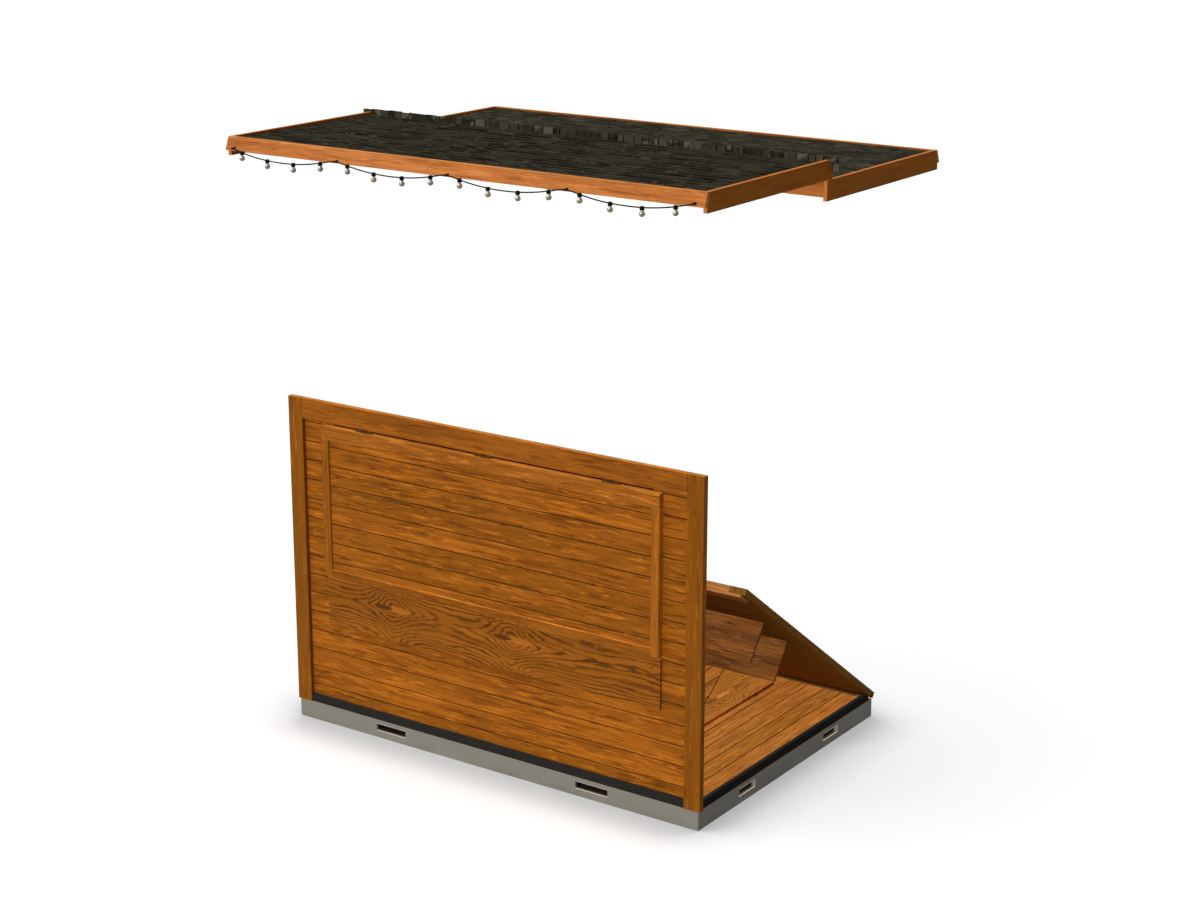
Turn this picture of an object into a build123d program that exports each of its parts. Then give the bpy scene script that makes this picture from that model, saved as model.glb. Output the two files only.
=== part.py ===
"""A folding wooden market stall on a steel base, with its roof lifted off and its walls part folded.

Millimetres. X runs along the counter side, Y from the counter side to the back and Z up. The origin is
under the middle of the base, on the ground.
"""
from build123d import *
from math import cos, pi, radians, sin, tan
import os

os.makedirs("parts", exist_ok=True)

# Steel base
base_length = 3000
base_depth = 2068
base_height = 118
rail_thickness = 60
front_pocket_spacing = 1516
front_pocket_width = 236
side_pocket_spacing = 996
side_pocket_width = 186
pocket_height = 48
pocket_bottom = 44
bearer_clearance = 6

# Floor and its black edge strips
floor_thickness = 24
floor_top = 118
strip_thickness = 25
strip_inset = 3
strip_top = 170
strip_slant_rise = 21
strip_slant_run = 54

# Cladding and frames of the walls
cladding = 14
post_width = 110
post_thickness = 40
wall_top = 2113
wall_overhang = 12
front_overhang = 6
top_rail_height = 128

# Serving opening and the hatch flap over it
opening_width = 2340
opening_bottom = 1045
opening_top = 1900
hatch_width = 2470
hatch_top = 1970
hatch_bottom = 1000
hatch_frame_thickness = 40
hatch_stile_width = 55
hatch_rail_height = 86
hatch_foot_height = 50
hatch_board_thickness = 12
hatch_board_set_back = 12
moving_gap = 6
hatch_hinge_radius = 5
hatch_hinge_length = 120
hatch_hinge_spacing = 900
hatch_hinge_ahead = 5
hinge_leaf = 3
hinge_leaf_inset = 0.5
hinge_running_gap = 0.3

# Counter board under the hatch
counter_thickness = 17
counter_bottom = 676
counter_hinge_length = 100
counter_hinge_spacing = 800
counter_hinge_radius = 4
counter_leaf_height = 25

# Back wall, turned down about pins in its posts
back_lean = 36
back_pin_behind_face = 10
back_pin_height = 148
back_pin_radius = 8
back_pin_clearance = 0.3
back_lug_thickness = 8
back_lug_radius = 20
back_lug_from_end = 57
back_slot_clearance = 3
back_foot_height = 123
shelf_depth = 255
shelf_thickness = 18
shelf_length = 2740
upper_shelf_height = 1545
lower_shelf_height = 1190
ledger_height = 95
ledger_thickness = 18
ledger_inset = 25

# Side walls lying on the floor
side_wall_eave = 1920
side_wall_clearance = 4
gable_angle = 20.5
right_wall_depth = 1966
left_wall_depth = 1880
side_counter_bottom = 580
side_counter_height = 368
side_counter_thickness = 22
side_counter_length = 1700

# Roof halves, laid flat above the walls, with eave boards that stand plumb on the pitched roof
roof_length = 3340
roof_board = 25
front_half_edge = -1301
front_half_ridge = 8
front_half_top = 3729
eave_board_height = 80
front_gable_height = 112
rear_half_near = -49
rear_half_edge = 1301
rear_gable_height = 120
rear_near_height = 100
deck_thickness = 45
deck_drop = 20
cap_thickness = 12
cap_rise = 41
cap_set_back = 38
cap_drop = 50
cap_overhang = 38

# String lights under the front eave
cord_diameter = 8
cord_stand_off = 17
socket_diameter = 26
socket_length = 22
socket_over_cord = 8
bulb_neck = 4
bulb_diameter = 34
bulb_length = 36
clip_width = 14
clip_height = 22

# Derived places
half_length = base_length / 2
half_depth = base_depth / 2
wall_front = -half_depth - front_overhang
wall_inner = wall_front + post_thickness
boards_front = wall_inner - cladding
wall_half = half_length + wall_overhang
rail_bottom = wall_top - top_rail_height
post_inner = wall_half - post_width
floor_bottom = floor_top - floor_thickness


def block(x, y, z):
    """Adds a box to the part in hand, given its lower and upper bounds on each axis."""
    centre = ((x[0] + x[1]) / 2, (y[0] + y[1]) / 2, (z[0] + z[1]) / 2)
    with Locations(centre):
        Box(x[1] - x[0], y[1] - y[0], z[1] - z[0])


def cut(x, y, z):
    """Cuts a box out of the part in hand, given its lower and upper bounds on each axis."""
    centre = ((x[0] + x[1]) / 2, (y[0] + y[1]) / 2, (z[0] + z[1]) / 2)
    with Locations(centre):
        Box(x[1] - x[0], y[1] - y[0], z[1] - z[0], mode=Mode.SUBTRACT)


def save(piece, name):
    """Labels a finished piece and writes it."""
    piece.part.label = name
    export_step(piece.part, f"parts/{name}.step")


# Base rails, each with two fork pockets cut through
pocket = (pocket_bottom, pocket_bottom + pocket_height)
for name, side in (("base_front_rail", -1), ("base_rear_rail", 1)):
    with BuildPart() as long_rail:
        rail_y = sorted((side * half_depth, side * (half_depth - rail_thickness)))
        block((-half_length, half_length), rail_y, (0, base_height))
        for x in (-front_pocket_spacing / 2, front_pocket_spacing / 2):
            cut((x - front_pocket_width / 2, x + front_pocket_width / 2), rail_y, pocket)
    save(long_rail, name)

for name, side in (("base_left_rail", -1), ("base_right_rail", 1)):
    with BuildPart() as end_rail:
        near_x, far_x = sorted((side * half_length, side * (half_length - rail_thickness)))
        end_y = half_depth - rail_thickness
        block((near_x, far_x), (-end_y, end_y), (0, base_height))
        for y in (-side_pocket_spacing / 2, side_pocket_spacing / 2):
            cut((near_x, far_x), (y - side_pocket_width / 2, y + side_pocket_width / 2), pocket)
    save(end_rail, name)

# Nine bearers under the floor, with the fork ways between them
fork_x = front_pocket_spacing / 2
fork_y = side_pocket_spacing / 2
way_x = front_pocket_width / 2 + bearer_clearance
way_y = side_pocket_width / 2 + bearer_clearance
inner_x = half_length - rail_thickness
inner_y = half_depth - rail_thickness
x_spans = ((-inner_x, -fork_x - way_x), (-fork_x + way_x, fork_x - way_x), (fork_x + way_x, inner_x))
y_spans = ((-inner_y, -fork_y - way_y), (-fork_y + way_y, fork_y - way_y), (fork_y + way_y, inner_y))
with BuildPart() as bearers:
    for x_span in x_spans:
        for y_span in y_spans:
            block(x_span, y_span, (0, floor_bottom))
save(bearers, "floor_bearers")

with BuildPart() as floor:
    block((-inner_x, inner_x), (-inner_y, inner_y), (floor_bottom, floor_top))
save(floor, "floor_deck")

# Black edge strips: one under the front boards and one along each end, cut back behind for the back wall
strip_face_y = -half_depth + strip_inset
strip_face_x = half_length - strip_inset
strip_inner_x = strip_face_x - strip_thickness
strip_end_y = -wall_inner - moving_gap
strip_slant_start = (strip_end_y, base_height + strip_slant_rise)
strip_slant_end = (strip_end_y - strip_slant_run, strip_top)
with BuildPart() as front_strip:
    block((-post_inner, post_inner), (strip_face_y, strip_face_y + strip_thickness), (base_height, strip_top))
save(front_strip, "front_edge_strip")

for name, side in (("left_edge_strip", -1), ("right_edge_strip", 1)):
    with BuildPart() as end_strip:
        with BuildSketch(Plane.YZ.offset(side * strip_face_x)):
            with BuildLine():
                Polyline((wall_inner, base_height), (strip_end_y, base_height), strip_slant_start,
                         strip_slant_end, (wall_inner, strip_top), close=True)
            make_face()
        extrude(amount=-side * strip_thickness)
    save(end_strip, name)

# Front wall: posts, top rail and the boards round the serving opening
for name, side in (("front_left_post", -1), ("front_right_post", 1)):
    with BuildPart() as post:
        low_x, high_x = sorted((side * wall_half, side * post_inner))
        block((low_x, high_x), (wall_front, wall_inner), (base_height, wall_top))
    save(post, name)

with BuildPart() as front_rail:
    block((-post_inner, post_inner), (wall_front, wall_inner), (rail_bottom, wall_top))
save(front_rail, "front_top_rail")

opening_half = opening_width / 2
with BuildPart() as side_boards:
    for side in (-1, 1):
        low_x, high_x = sorted((side * opening_half, side * post_inner))
        block((low_x, high_x), (boards_front, wall_inner), (opening_bottom, opening_top))
save(side_boards, "front_side_boards")

with BuildPart() as header_boards:
    block((-post_inner, post_inner), (boards_front, wall_inner), (opening_top, rail_bottom))
save(header_boards, "front_header_boards")

with BuildPart() as lower_boards:
    block((-post_inner, post_inner), (boards_front, wall_inner), (strip_top, opening_bottom))
save(lower_boards, "front_lower_boards")

# Hatch flap: boards in a frame that laps over the edges of the opening
hatch_half = hatch_width / 2
hatch_back = boards_front - moving_gap
hatch_front = hatch_back - hatch_frame_thickness
hatch_x = (-hatch_half, hatch_half)
hatch_y = (hatch_front, hatch_back)
stile_inner = hatch_half - hatch_stile_width
stile_z = (hatch_bottom, hatch_top - hatch_rail_height)
boards_z = (hatch_bottom + hatch_foot_height, hatch_top - hatch_rail_height)
with BuildPart() as hatch_boards:
    board_front = hatch_front + hatch_board_set_back
    block((-stile_inner, stile_inner), (board_front, board_front + hatch_board_thickness), boards_z)
save(hatch_boards, "hatch_boards")

with BuildPart() as hatch_stiles:
    block((-hatch_half, -stile_inner), hatch_y, stile_z)
    block((stile_inner, hatch_half), hatch_y, stile_z)
save(hatch_stiles, "hatch_stiles")

with BuildPart() as hatch_foot:
    block((-stile_inner, stile_inner), hatch_y, (hatch_bottom, hatch_bottom + hatch_foot_height))
save(hatch_foot, "hatch_bottom_rail")

with BuildPart() as hatch_rail:
    block(hatch_x, hatch_y, (hatch_top - hatch_rail_height, hatch_top))
save(hatch_rail, "hatch_top_rail")

# Hatch hinges: the barrel lies in front of the gap between the hatch and the rail above it
hatch_axis_z = (hatch_top + rail_bottom) / 2
hatch_axis_y = wall_front - hatch_hinge_radius - hatch_hinge_ahead
hinge_places = (-hatch_hinge_spacing, 0, hatch_hinge_spacing)
third = hatch_hinge_length / 3
leaf_half = third / 2 - hinge_leaf_inset
with BuildPart() as rail_leaves:
    for x in hinge_places:
        for side in (-1, 1):
            with Locations(Plane.YZ.offset(x + side * third)):
                with Locations((hatch_axis_y, hatch_axis_z)):
                    Cylinder(hatch_hinge_radius, third - hinge_running_gap)
        for side in (-1, 1):
            leaf_x = (x + side * third - leaf_half, x + side * third + leaf_half)
            block(leaf_x, (hatch_axis_y, boards_front), (rail_bottom - hinge_leaf, rail_bottom))
save(rail_leaves, "hatch_hinge_leaves")

with BuildPart() as hatch_knuckles:
    for x in hinge_places:
        with Locations(Plane.YZ.offset(x)):
            with Locations((hatch_axis_y, hatch_axis_z)):
                Cylinder(hatch_hinge_radius, third - hinge_running_gap)
        leaf_x = (x - leaf_half, x + leaf_half)
        block(leaf_x, (hatch_axis_y, hatch_back), (hatch_top, hatch_top + hinge_leaf))
save(hatch_knuckles, "hatch_hinge_knuckles")

# Counter board, hung on hinges in the gap under the hatch
counter_back = boards_front - moving_gap
counter_front = counter_back - counter_thickness
counter_axis_y = counter_front - counter_hinge_radius
counter_axis_z = hatch_bottom - moving_gap - counter_hinge_radius
counter_top = counter_axis_z - counter_hinge_radius
with BuildPart() as counter:
    block(hatch_x, (counter_front, counter_back), (counter_bottom, counter_top))
save(counter, "counter_board")

counter_third = counter_hinge_length / 3
counter_leaf_half = counter_third / 2 - hinge_leaf_inset
counter_barrel_top = counter_axis_z + counter_hinge_radius
with BuildPart() as wall_leaves:
    for x in (-counter_hinge_spacing, 0, counter_hinge_spacing):
        for leaf_middle in (x - counter_third, x + counter_third):
            with Locations(Plane.YZ.offset(leaf_middle)):
                with Locations((counter_axis_y, counter_axis_z)):
                    Cylinder(counter_hinge_radius, counter_third - hinge_running_gap)
            leaf_x = (leaf_middle - counter_leaf_half, leaf_middle + counter_leaf_half)
            leaf_z = (counter_barrel_top - hinge_leaf, counter_barrel_top)
            block(leaf_x, (counter_axis_y, boards_front), leaf_z)
save(wall_leaves, "counter_hinge_leaves")

with BuildPart() as counter_knuckles:
    for x in (-counter_hinge_spacing, 0, counter_hinge_spacing):
        with Locations(Plane.YZ.offset(x)):
            with Locations((counter_axis_y, counter_axis_z)):
                Cylinder(counter_hinge_radius, counter_third - hinge_running_gap)
        leaf_x = (x - counter_leaf_half, x + counter_leaf_half)
        leaf_foot = counter_top - counter_leaf_height
        block(leaf_x, (counter_front - hinge_leaf, counter_front), (leaf_foot, counter_axis_z))
save(counter_knuckles, "counter_hinge_knuckles")

# Back wall, drawn in its own plane: x along the stall, y up the wall and z into the stall
back_pin_y = -wall_inner + back_pin_behind_face
inward = (0, -sin(radians(back_lean)), -cos(radians(back_lean)))
back_plane = Plane(origin=(0, back_pin_y, back_pin_height), x_dir=(1, 0, 0), z_dir=inward)


def back_block(x, height, depth):
    """Adds a box to the back wall: heights as if it stood, depths from its inner face into the stall."""
    up = (height[0] - back_pin_height, height[1] - back_pin_height)
    out = (back_pin_behind_face + depth[0], back_pin_behind_face + depth[1])
    centre = ((x[0] + x[1]) / 2, (up[0] + up[1]) / 2, (out[0] + out[1]) / 2)
    with Locations(back_plane):
        with Locations(centre):
            Box(x[1] - x[0], up[1] - up[0], out[1] - out[0])


# Posts with a slot for the lug on the base and a bore for the pin
lug_x = wall_half - back_lug_from_end
slot_half = back_lug_thickness / 2 + back_slot_clearance
slot_top = back_lug_radius + back_slot_clearance * 2
for name, side in (("back_left_post", -1), ("back_right_post", 1)):
    with BuildPart() as back_post:
        low_x, high_x = sorted((side * wall_half, side * post_inner))
        back_block((low_x, high_x), (back_foot_height, wall_top), (-post_thickness, 0))
        with Locations(back_plane):
            with Locations((side * lug_x, 0, 0)):
                Box(2 * slot_half, 2 * slot_top, 2 * post_thickness, mode=Mode.SUBTRACT)
        with Locations(Plane.YZ.offset(side * (post_inner + post_width / 2))):
            with Locations((back_pin_y, back_pin_height)):
                Cylinder(back_pin_radius, post_width, mode=Mode.SUBTRACT)
    save(back_post, name)

with BuildPart() as back_pins:
    for side in (-1, 1):
        with Locations(Plane.YZ.offset(side * (post_inner + post_width / 2))):
            with Locations((back_pin_y, back_pin_height)):
                Cylinder(back_pin_radius, post_width)
save(back_pins, "back_hinge_pins")

with BuildPart() as lugs:
    for side in (-1, 1):
        with BuildSketch(Plane.YZ.offset(side * lug_x)):
            with Locations((back_pin_y, back_pin_height)):
                Circle(back_lug_radius)
            lug_height = back_pin_height - base_height
            with Locations((back_pin_y, base_height + lug_height / 2)):
                Rectangle(2 * back_lug_radius, lug_height)
            with Locations((back_pin_y, back_pin_height)):
                Circle(back_pin_radius + back_pin_clearance, mode=Mode.SUBTRACT)
        extrude(amount=back_lug_thickness / 2, both=True)
save(lugs, "back_hinge_lugs")

with BuildPart() as back_rail:
    back_block((-post_inner, post_inner), (rail_bottom, wall_top), (-post_thickness, 0))
save(back_rail, "back_top_rail")

with BuildPart() as back_boards:
    back_block((-post_inner, post_inner), (back_foot_height, rail_bottom), (-cladding, 0))
save(back_boards, "back_boards")

with BuildPart() as ledger:
    ledger_half = wall_half - ledger_inset
    back_block((-ledger_half, ledger_half), (wall_top - ledger_height, wall_top), (0, ledger_thickness))
save(ledger, "back_ledger")

for name, height in (("back_upper_shelf", upper_shelf_height), ("back_lower_shelf", lower_shelf_height)):
    with BuildPart() as shelf:
        shelf_x = (-shelf_length / 2, shelf_length / 2)
        back_block(shelf_x, (height - shelf_thickness, height), (0, shelf_depth))
    save(shelf, name)

# Side walls, lying one on the other with their counter boards upward
side_wall_foot = strip_inner_x - side_wall_clearance
gable_rise = tan(radians(gable_angle))
layers = {
    "right": (1, right_wall_depth / 2, floor_top),
    "left": (-1, left_wall_depth / 2, floor_top + cladding + side_counter_thickness),
}
for name, (side, half_width, bottom) in layers.items():
    eave = side_wall_eave + (-wall_inner - half_width) * gable_rise
    peak = eave + half_width * gable_rise
    with BuildPart() as side_wall:
        with BuildSketch(Plane.XY.offset(bottom)):
            with BuildLine():
                foot_x = side * side_wall_foot
                Polyline((foot_x, -half_width), (foot_x, half_width), (foot_x - side * eave, half_width),
                         (foot_x - side * peak, 0), (foot_x - side * eave, -half_width), close=True)
            make_face()
        extrude(amount=cladding)
    save(side_wall, f"{name}_side_wall")
    with BuildPart() as side_counter:
        near_x = side * (side_wall_foot - side_counter_bottom)
        far_x = near_x - side * side_counter_height
        top = bottom + cladding
        block(sorted((near_x, far_x)), (-side_counter_length / 2, side_counter_length / 2),
              (top, top + side_counter_thickness))
    save(side_counter, f"{name}_side_counter")

# Roof halves: a deck in a rim of boards each, the front half resting on the rear half's near edge
roof_half = roof_length / 2
deck_half = roof_half - roof_board
eave_slant = tan(radians(gable_angle))
eave_drift = eave_board_height * eave_slant
rear_half_top = front_half_top - front_gable_height


def deck(edge, ridge, top, name):
    """Makes a roof half's deck, its outer edge cut on the slant of the eave board."""
    out = -1 if edge < ridge else 1
    deck_top = top - deck_drop
    deck_low = deck_top - deck_thickness
    top_y = edge - out * (roof_board - deck_drop * eave_slant)
    low_y = top_y + out * deck_thickness * eave_slant
    with BuildPart() as roof_deck:
        with BuildSketch(Plane.YZ.offset(-deck_half)):
            with BuildLine():
                Polyline((top_y, deck_top), (ridge, deck_top), (ridge, deck_low), (low_y, deck_low),
                         close=True)
            make_face()
        extrude(amount=2 * deck_half)
    save(roof_deck, name)


def eave_board(edge, top, out, name):
    """Makes the board along an eave: its foot stands out while the roof half lies flat."""
    low = top - eave_board_height
    low_edge = edge + out * eave_drift
    with BuildPart() as board:
        with BuildSketch(Plane.YZ.offset(-roof_half)):
            with BuildLine():
                Polyline((edge, top), (low_edge, low), (low_edge - out * roof_board, low),
                         (edge - out * roof_board, top), close=True)
            make_face()
        extrude(amount=roof_length)
    save(board, name)


def gable_boards(edge, ridge, top, height, name):
    """Makes the boards along both ends of a roof half, up against the eave board."""
    out = -1 if edge < ridge else 1
    high_y = edge - out * roof_board
    low_y = high_y + out * eave_drift
    with BuildPart() as boards:
        for side in (-1, 1):
            with BuildSketch(Plane.YZ.offset(side * deck_half)):
                with BuildLine():
                    Polyline((high_y, top), (low_y, top - eave_board_height), (low_y, top - height),
                             (ridge, top - height), (ridge, top), close=True)
                make_face()
            extrude(amount=side * roof_board)
    save(boards, name)


deck(front_half_edge, front_half_ridge, front_half_top, "front_roof_deck")
eave_board(front_half_edge, front_half_top, -1, "front_eave_board")
gable_boards(front_half_edge, front_half_ridge, front_half_top, front_gable_height, "front_gable_boards")

deck(rear_half_edge, rear_half_near + roof_board, rear_half_top, "rear_roof_deck")
eave_board(rear_half_edge, rear_half_top, 1, "rear_eave_board")
gable_boards(rear_half_edge, rear_half_near, rear_half_top, rear_gable_height, "rear_gable_boards")
with BuildPart() as rear_near:
    near_board_y = (rear_half_near, rear_half_near + roof_board)
    block((-deck_half, deck_half), near_board_y, (rear_half_top - rear_near_height, rear_half_top))
save(rear_near, "rear_near_board")

# Ridge cap: shingles upright over the front half's high edge and hanging down behind it
cap_foot = front_half_top - deck_drop
cap_top = cap_foot + cap_rise
cap_front = front_half_ridge - cap_set_back
cap_rear = front_half_ridge + cap_thickness
with BuildPart() as ridge_cap:
    with BuildSketch(Plane.YZ.offset(-roof_half - cap_overhang)):
        with BuildLine():
            Polyline((cap_front, cap_foot), (cap_front, cap_top), (cap_front + cap_thickness, cap_top),
                     (cap_rear, cap_foot), (cap_rear, cap_foot - cap_drop),
                     (front_half_ridge, cap_foot - cap_drop), (front_half_ridge, cap_foot), close=True)
        make_face()
    extrude(amount=roof_length + 2 * cap_overhang)
    for side in (-1, 1):
        gable_x = sorted((side * deck_half, side * roof_half))
        cut(gable_x, (cap_front, front_half_ridge), (cap_foot, front_half_top))
save(ridge_cap, "ridge_cap")

# String lights: the cord hangs in four swags from five clips on the eave board
cord_y = front_half_edge - eave_drift - cord_stand_off
route = [
    (-1599, 3667), (-1500, 3644), (-1401, 3627), (-1302, 3618), (-1202, 3615), (-1103, 3618),
    (-1004, 3628), (-905, 3645), (-806, 3667), (-706, 3645), (-605, 3628), (-504, 3619), (-405, 3615),
    (-305, 3618), (-204, 3627), (-103, 3644), (-4, 3667), (97, 3644), (198, 3627), (298, 3617),
    (399, 3614), (500, 3617), (601, 3627), (701, 3644), (802, 3667), (903, 3645), (1003, 3627),
    (1104, 3618), (1205, 3615), (1307, 3617), (1407, 3627), (1508, 3643), (1609, 3667),
]
cord_points = [Vector(x, cord_y, z) for x, z in route]
arc_share = 0.45
radii = []
for before, here, after in zip(cord_points, cord_points[1:], cord_points[2:]):
    run_in = here - before
    run_out = after - here
    half_turn = radians(run_in.get_angle(run_out)) / 2
    radii.append(arc_share * min(run_in.length, run_out.length) / tan(half_turn))
print("cord radii", [round(radius) for radius in radii])
with BuildPart() as cord:
    with BuildLine() as cord_path:
        FilletPolyline(*cord_points, radius=radii)
    cord_wire = cord_path.wire()
    with BuildSketch(Plane(origin=cord_wire @ 0, z_dir=cord_wire % 0)):
        Circle(cord_diameter / 2)
    sweep(path=cord_wire)
section = pi * cord_diameter ** 2 / 4
print("cord length", round(cord_wire.length, 1))
print("cord volume over section times length", round(cord.part.volume / (section * cord_wire.length), 4))
save(cord, "light_cord")

clip_places = ((-1599, 3667), (-806, 3661), (-4, 3661), (802, 3661), (1609, 3667))
with BuildPart() as clips:
    for x, z in clip_places:
        low, high = z - clip_height / 2, z + clip_height / 2
        low_y = front_half_edge - (front_half_top - low) * eave_slant
        high_y = front_half_edge - (front_half_top - high) * eave_slant
        clip_front = cord_y - cord_diameter
        with BuildSketch(Plane.YZ.offset(x - clip_width / 2)):
            with BuildLine():
                Polyline((clip_front, low), (low_y, low), (high_y, high), (clip_front, high), close=True)
            make_face()
        extrude(amount=clip_width)
save(clips, "light_clips")


def cord_height(x):
    """Height of the cord's middle at a place along the stall."""
    for (x0, z0), (x1, z1) in zip(route, route[1:]):
        if x0 <= x <= x1:
            return z0 + (z1 - z0) * (x - x0) / (x1 - x0)


lamp_places = (-1521, -1324, -1123, -916, -713, -520, -316, -111, 93, 288, 490, 696, 898, 1094, 1296, 1504)
with BuildPart() as sockets:
    for x in lamp_places:
        with Locations((x, cord_y, cord_height(x) + socket_over_cord - socket_length / 2)):
            Cylinder(socket_diameter / 2, socket_length)
save(sockets, "light_sockets")

with BuildPart() as bulbs:
    for x in lamp_places:
        top = cord_height(x) + socket_over_cord - socket_length
        with BuildSketch(Plane(origin=(x, cord_y, top), x_dir=(1, 0, 0), z_dir=(0, -1, 0))) as profile:
            with BuildLine():
                belly = -bulb_length + bulb_diameter / 2
                Line((0, 0), (socket_diameter / 2 - bulb_neck, 0))
                Line((socket_diameter / 2 - bulb_neck, 0), (bulb_diameter / 2, belly))
                CenterArc((0, belly), bulb_diameter / 2, 0, -90)
                Line((0, -bulb_length), (0, 0))
            make_face()
        revolve(axis=Axis((x, cord_y, top), (0, 0, 1)))
save(bulbs, "light_bulbs")
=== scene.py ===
"""Materials, boards, shingles and string lights of the folding wooden market stall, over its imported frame.

Metres. X runs along the counter side, Y from the counter side to the back and Z up, as in the frame.
"""
import random
from math import cos, pi, radians, sin, tan

import bmesh
import bpy
from mathutils import Matrix, Vector


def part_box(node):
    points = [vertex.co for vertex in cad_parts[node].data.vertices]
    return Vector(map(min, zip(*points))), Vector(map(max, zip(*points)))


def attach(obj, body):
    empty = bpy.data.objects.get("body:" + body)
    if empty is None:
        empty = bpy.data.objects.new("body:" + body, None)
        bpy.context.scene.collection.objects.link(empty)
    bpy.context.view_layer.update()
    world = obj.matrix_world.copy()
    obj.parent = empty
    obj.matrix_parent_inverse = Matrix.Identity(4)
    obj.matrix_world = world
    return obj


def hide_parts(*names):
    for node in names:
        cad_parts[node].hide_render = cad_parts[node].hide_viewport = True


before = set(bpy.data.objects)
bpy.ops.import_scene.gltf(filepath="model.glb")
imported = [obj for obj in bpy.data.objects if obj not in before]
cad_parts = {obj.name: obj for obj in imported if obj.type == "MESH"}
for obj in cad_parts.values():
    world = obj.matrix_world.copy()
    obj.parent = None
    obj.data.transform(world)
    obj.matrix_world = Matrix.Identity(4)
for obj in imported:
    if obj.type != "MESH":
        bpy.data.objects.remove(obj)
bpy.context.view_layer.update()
chance = random.Random(20)

# Tone of each row of boards up from first_joint, from 0 for bright to 1 for olive
row_tones = (
    0.2, 0.15, 0.2, 0.5, 0.32, 0.6, 0.55, 0.6, 0.7, 0.4, 0.75, 0.5, 0.3, 0.3, 0.6, 0.6,
    0.5, 0.3, 0.6, 0.4, 0.5, 0.3, 0.6, 0.65,
)

# Walls and their boards
board_pitch = 0.1232
first_joint = 0.237
board_gap = 0.006
board_edge = 0.001
dark_joint_and_shadow_tone = 2.0
joint_depth = 0.003
joint_lap = 0.003
timber_edge = 0.003
wall_pitch_across = 0.125
lying_first_joint = 1.311
narrowest_board = 0.012
gable_angle = radians(20.5)
slope = tan(gable_angle)
back_lean = radians(36)
back_pin_height = 0.148
back_pin = Vector((0, 1.010, back_pin_height))

# Fork ways through the base, off its middle, and the heights of their pockets
front_way = 0.758
side_way = 0.498
pocket_low = 0.044
pocket_high = 0.092

# Shingles
shingle_exposure = 0.075
shingle_gap = 0.002
shingle_butt = 0.009
shingle_head = 0.002
shingle_widths = (0.09, 0.21)
narrowest_shingle = 0.015
butt_stagger = 0.004

# String lights
cord_y = -1.3479
cord_diameter = 0.008
cord_route = [
    (-1.599, 3.667), (-1.500, 3.644), (-1.401, 3.627), (-1.302, 3.618), (-1.202, 3.615), (-1.103, 3.618),
    (-1.004, 3.628), (-0.905, 3.645), (-0.806, 3.667), (-0.706, 3.645), (-0.605, 3.628), (-0.504, 3.619),
    (-0.405, 3.615), (-0.305, 3.618), (-0.204, 3.627), (-0.103, 3.644), (-0.004, 3.667), (0.097, 3.644),
    (0.198, 3.627), (0.298, 3.617), (0.399, 3.614), (0.500, 3.617), (0.601, 3.627), (0.701, 3.644),
    (0.802, 3.667), (0.903, 3.645), (1.003, 3.627), (1.104, 3.618), (1.205, 3.615), (1.307, 3.617),
    (1.407, 3.627), (1.508, 3.643), (1.609, 3.667),
]
lamp_places = (
    -1.521, -1.324, -1.123, -0.916, -0.713, -0.520, -0.316, -0.111,
    0.093, 0.288, 0.490, 0.696, 0.898, 1.094, 1.296, 1.504,
)
clip_places = (-1.599, -0.806, -0.004, 0.802, 1.609)
socket_radius = 0.013
socket_length = 0.022
socket_over_cord = 0.008
bulb_radius = 0.0169
bulb_length = 0.036


# Camera
def make_camera():
    """Places the camera off the front right corner, above the roof, with a long lens."""
    stand = (7.912, -11.312, 5.775)
    yaw = radians(34.62)
    pitch = radians(16.19)
    roll = radians(0.107)
    back = Vector((sin(yaw) * cos(pitch), -cos(yaw) * cos(pitch), sin(pitch)))
    level = Vector((cos(yaw), sin(yaw), 0))
    upright = back.cross(level)
    right = cos(roll) * level + sin(roll) * upright
    up = cos(roll) * upright - sin(roll) * level
    data = bpy.data.cameras.new("camera")
    data.lens = 69.67
    data.sensor_width = 36
    data.clip_end = 200
    camera = bpy.data.objects.new("camera", data)
    turn = Matrix((right, up, back)).transposed().to_4x4()
    camera.matrix_world = Matrix.Translation(stand) @ turn
    bpy.context.scene.collection.objects.link(camera)
    bpy.context.scene.camera = camera


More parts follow.
